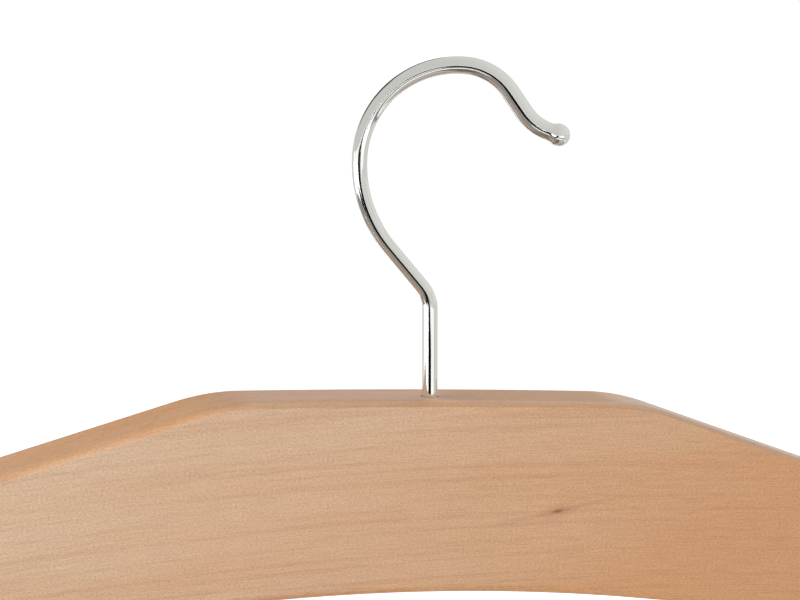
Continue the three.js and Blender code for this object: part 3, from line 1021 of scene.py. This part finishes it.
# %% Make the bar rest
rest_low, rest_high = corners("bar_rest_1")
hub_low, hub_high = rest_low.z - bar_heights[1], rest_high.z - bar_heights[1]
shelf_start = rest_low.x - post_x
shelf_rise, shelf_thickness = 0.3, 3
shelf_bottom = hub_low + shelf_rise
shelf_top = shelf_bottom + shelf_thickness
shelf_front, stop_front, stop_back, stop_top = -7, 3.3, 6.3, 3
tongue_corners = [
    (shelf_front, shelf_bottom),
    (shelf_front, shelf_top),
    (stop_front, shelf_top),
    (stop_front, stop_top),
    (stop_back, stop_top),
    (stop_back, shelf_bottom),
]
tongue_round, tongue_edge, tongue_steps = 0.9, 0.5, 4
tongue_end = -post_bore - 0.4  # inside the ring's wall, just short of its bore
tongue_outline = eased(tongue_corners, tongue_round, closed=True)


def tongue(outline, start, stop):
    quarter = [pi / 2 * i / tongue_steps for i in range(tongue_steps + 1)]
    layers = [(tongue_edge * (1 - sin(a)), start + tongue_edge * (1 - cos(a))) for a in quarter]
    layers.append((0, stop))
    border = list(zip(outline, inward(outline)))
    loops = [[Vector((x, *(p + inset * way))) for p, way in border] for inset, x in layers]
    return skinned(loops, capped=True)


hub_profile = ring_profile(post_bore, collar_radius, hub_low, hub_high)
bar_rest = new_object("bar_rest", turned(hub_profile, collar_edge, closed=True))
worked(bar_rest, "UNION", new_object("tongue", tongue(tongue_outline, shelf_start, tongue_end)))
worked(bar_rest, "DIFFERENCE", bore("screw_hole", screw_bore, 0, 2 * collar_radius, axis="x"))
print("bar rest:", len(bar_rest.data.vertices), "points")

# %% [markdown]
# ## Fit out the four tiers
# Every tier gets its own objects, made from the shapes above. The left side hangs from the left post's
# axis and the rest sits on the right post's.

# %% Fit the tiers
half_turn = pi
for tier in tiers:
    left, rest_place = (-post_x, 0, bar_heights[tier]), (post_x, 0, bar_heights[tier])
    for name, shape, node, finish, slot in (
        ("wood_bar", laid(dowel, "x"), "bar", bar_wood, "lacquered_wood"),
        ("vinyl_sleeve", laid(sleeve, "x"), "grip_sleeve", vinyl, "clear_vinyl"),
        ("end_cap", laid(end_cap, "x"), "tip_cap", chrome, "chrome_plate"),
        ("slip_ring", slip_ring, "thrust_washer", nylon, "white_nylon"),
    ):
        finish_piece(new_object(f"{name}_{tier}", shape), f"{node}_{tier}", finish, left)
    for name, mould, node, finish, slot, place, spin in (
        ("hinge_eye", hinge_eye, "pivot_eye", chrome, "chrome_plate", left, 0),
        ("post_collar", collar, "collar", chrome, "chrome_plate", left, 0),
        ("shelf_rest", bar_rest, "bar_rest", chrome, "chrome_plate", rest_place, 0),
        ("rest_grub_screw", grub_screw, "rest_screw", zinc, "zinc_steel", rest_place, 0),
        ("collar_grub_screw", grub_screw, "collar_screw", zinc, "zinc_steel",
         (left[0], 0, left[2] + collar_middle), half_turn),
    ):
        piece = in_scene(f"{name}_{tier}", mould.data.copy())
        piece.rotation_euler.z = spin
        finish_piece(piece, f"{node}_{tier}", finish, place)
for mould in (hinge_eye, collar, bar_rest, grub_screw):
    bpy.data.objects.remove(mould)
print("tiers fitted:", len(tiers))

# %% [markdown]
# ## The stage
# The hanger hangs a little above a plain white floor in a white studio. What the camera sees past the
# object is white: floor and world add light of their own, but only for rays that come from the camera
# or from a mirror, so it never falls on the object. Close to the hanger the lamps make the floor white,
# so there the floor adds little of its own and keeps the object's shadow.

# %% Floor
floor_gap, floor_half = 25, 9000  # in mm
shadow_reach, white_reach = 0.6, 1.6  # metres from the middle of the floor
near_glow, far_glow = 0.25, 0.8
floor_z = rod_low.z - floor_gap
floor_shape = [
    Vector((x * floor_half, y * floor_half, floor_z))
    for x, y in ((-1, -1), (1, -1), (1, 1), (-1, 1))
]
floor = new_object("floor", (floor_shape, [[0, 1, 2, 3]]))
floor_paint, tree = new_finish("white_studio_floor")
light_path = add(tree, "LightPath").outputs
seen = add(tree, "Math", {0: light_path["Is Camera Ray"], 1: light_path["Is Glossy Ray"]},
           operation="MAXIMUM")
seen = add(tree, "Math", {0: seen, 1: light_path["Is Transmission Ray"]}, operation="MAXIMUM")
distance = add(tree, "VectorMath", {0: add(tree, "TexCoord").outputs["Object"]}, operation="LENGTH")
fade = add(tree, "MapRange", {
    "Value": distance, "From Min": shadow_reach, "From Max": white_reach,
    "To Min": near_glow, "To Max": far_glow,
})
own_light = add(tree, "Math", {0: seen, 1: fade}, operation="MULTIPLY")
paint = add(tree, "BsdfDiffuse", {"Color": linear("#f4f4f4")})
glow = add(tree, "Emission", {"Strength": own_light})
both = add(tree, "AddShader", {0: paint, 1: glow})
add(tree, "OutputMaterial", {0: both})
floor.data.materials.append(floor_paint)
print(f"floor {floor_gap} mm under the frame")

# %% [markdown]
# ## The world
# The world is three things in one: a plain grey that lights the object from all sides, a ceiling that
# only polished surfaces show, a little darker on the left, and a white that only the camera sees.

# %% World
ceiling_left, ceiling_right = -0.4, 0.8  # where the change of shade starts and ends, across the room
world = bpy.data.worlds.new("white_studio")
bpy.context.scene.world = world
world.use_nodes = True
tree = world.node_tree
tree.nodes.clear()
light_path = add(tree, "LightPath").outputs
way = add(tree, "TexCoord").outputs["Generated"]
to_right = add(tree, "MapRange", {
    "Value": add(tree, "SeparateXYZ", {0: way}),
    "From Min": ceiling_left,
    "From Max": ceiling_right,
})
ceiling = add(tree, "Mix", {0: to_right, 6: linear("#d0d0cc"), 7: linear("#e2e2de")}, data_type="RGBA")
lit = add(tree, "Background", {"Color": linear("#959595")})
mirrored = add(tree, "Background", {"Color": ceiling})
white = add(tree, "Background", {"Color": (1, 1, 1, 1)})
mixed = add(tree, "MixShader", {0: light_path["Is Glossy Ray"], 1: lit, 2: mirrored})
seen = add(tree, "Math", {0: light_path["Is Camera Ray"], 1: light_path["Is Transmission Ray"]},
           operation="MAXIMUM")
mixed = add(tree, "MixShader", {0: seen, 1: mixed, 2: white})
add(tree, "OutputWorld", {0: mixed})
print("world:", world.name)

# %% [markdown]
# ## Lamps
# Four wide soft lamps light the hanger. The key lamp stands low on the left, so the front and the left
# shoulder are bright, and a weak one in front fills in. One behind on the right lights the back, and
# one behind on the left the top and the left shoulder. None of them shows in the metal.

# %% Put up the lamps
middle_rise = 60  # of the hook's middle above the head
hook_middle = (stem_foot + Vector((0, 0, middle_rise))) * MM


def towards(azimuth, elevation):
    turn, rise = radians(azimuth), radians(elevation)
    return Vector((
        sin(turn) * cos(rise), -cos(turn) * cos(rise), sin(rise)
    ))


def soft_lamp(name, azimuth, elevation, distance, width, height, power):
    lamp_data = bpy.data.lights.new(name, "AREA")
    lamp_data.energy = power
    lamp_data.shape = "RECTANGLE"
    lamp_data.size, lamp_data.size_y = width, height
    lamp = in_scene(name, lamp_data)
    way = towards(azimuth, elevation)
    lamp.location = hook_middle + distance * way
    lamp.rotation_euler = way.to_track_quat("Z", "Y").to_euler()
    lamp.visible_glossy = False
    return lamp


lamps = [  # azimuth and elevation in degrees, distance, width and height in metres, power in watts
    soft_lamp("key_lamp", -72, 2, 3, 1.6, 0.8, 78),
    soft_lamp("front_lamp", -20, 0, 3, 1.6, 0.8, 16),
    soft_lamp("back_lamp", 125, 40, 1.7, 1, 1, 7),
    soft_lamp("shoulder_lamp", -110, 45, 1.7, 1, 1, 11.5),
]
print("lamps:", [lamp.name for lamp in lamps])

# %% [markdown]
# ## Flags
# Polished metal in an all-white room looks like nothing at all. Photographers put up flags, cards that
# only the mirror of the metal and the sheen of the lacquer show. Here they are hidden from every other
# kind of ray, so they take no light away.

# %% Helpers for flags
def bent_card(azimuths, elevations, distance, bends=16):
    points, faces = [], []
    for i in range(bends + 1):
        azimuth = azimuths[0] + (azimuths[1] - azimuths[0]) * i / bends
        points += [(hook_middle + distance * towards(azimuth, e)) / MM for e in elevations]
    for i in range(0, 2 * bends, 2):
        faces.append([i, i + 2, i + 3, i + 1])
    return points, faces


mat_half, mat_lift = 450, 1


def mat(side):
    spots = ((0, -1), (side, -1), (side, 1), (0, 1))
    z = floor_z + mat_lift
    return [Vector((x * mat_half, y * mat_half, z)) for x, y in spots], [[0, 1, 2, 3]]


def flag(name, shade, shape):
    card = new_object(name, shape)
    cloth, tree = new_finish(name + "_cloth")
    add(tree, "OutputMaterial", {0: add(tree, "Emission", {"Color": linear(shade)})})
    card.data.materials.append(cloth)
    card.visible_camera = card.visible_diffuse = card.visible_shadow = False
    card.visible_transmission = card.visible_volume_scatter = False
    return card


print("a card has", len(bent_card((0, 90), (0, 10), 1)[1]), "faces")

# %% [markdown]
# ## Where the flags stand
# Black cards under and beside the camera draw the dark lines along the wire, on its flank and down the
# stem. A grey one stands low on the left and a curtain goes round the back. The cards behind, at the
# height of the horizon, give the head's top its grey sheen, which fades out over the left shoulder. A
# skirting round the foot and two mats, dark on the left and pale on the right, keep the frame's rods
# from vanishing against the floor.

# %% Put up the flags
cam = degrees(view_turn)
black = "#141312"
cards = [  # name, shade, azimuths and elevations in degrees, distance in metres, number of bends
    ("flag_under_camera", black, (cam - 24, cam + 3), (-22, -3.5), 0.7),
    ("flag_for_flank", black, (cam + 3, cam + 14), (-6.5, -4.3), 0.7),
    ("flag_for_stem", black, (cam + 3, cam + 19), (-15, -9.8), 0.7),
    ("flag_left_of_camera", black, (cam - 48, cam - 24), (-32, -13.5), 1.2),
    ("flag_low_left", "#92908d", (-140, -38), (-62, -22), 0.5),
    ("curtain", "#d8d8d4", (cam + 66, cam + 262), (-28, 3), 0.8),
    ("curtain_edge", "#b4b4af", (cam + 60, cam + 66), (-28, 20), 0.8),
    ("flag_behind_left", "#c6c3ca", (159, 225), (3, 8), 1.2),
    ("flag_behind_right", "#97938f", (135, 159), (3, 8), 1.2),
    ("flag_fade_low", "#a5a1a4", (159, 225), (8, 10.3), 1.2),
    ("flag_fade_middle", "#85817e", (159, 225), (10.3, 12.6), 1.2),
    ("flag_fade_high", "#65625f", (159, 225), (12.6, 15), 1.2),
    ("flag_behind_high", "#464340", (167, 225), (15, 40), 1.2),
    ("skirting", "#8b8986", (0, 360), (-31, -21), 0.8, 48),
]
flags = [flag(name, shade, bent_card(*place)) for name, shade, *place in cards]
flags += [flag("dark_mat", "#6f6c69", mat(-1)), flag("pale_mat", "#bab8b4", mat(1))]
print("flags:", len(flags))

# %% [markdown]
# ## The view transform
# The colours are shown as they are written, with the Standard view transform.

# %% Finish
bpy.context.scene.view_settings.view_transform = "Standard"
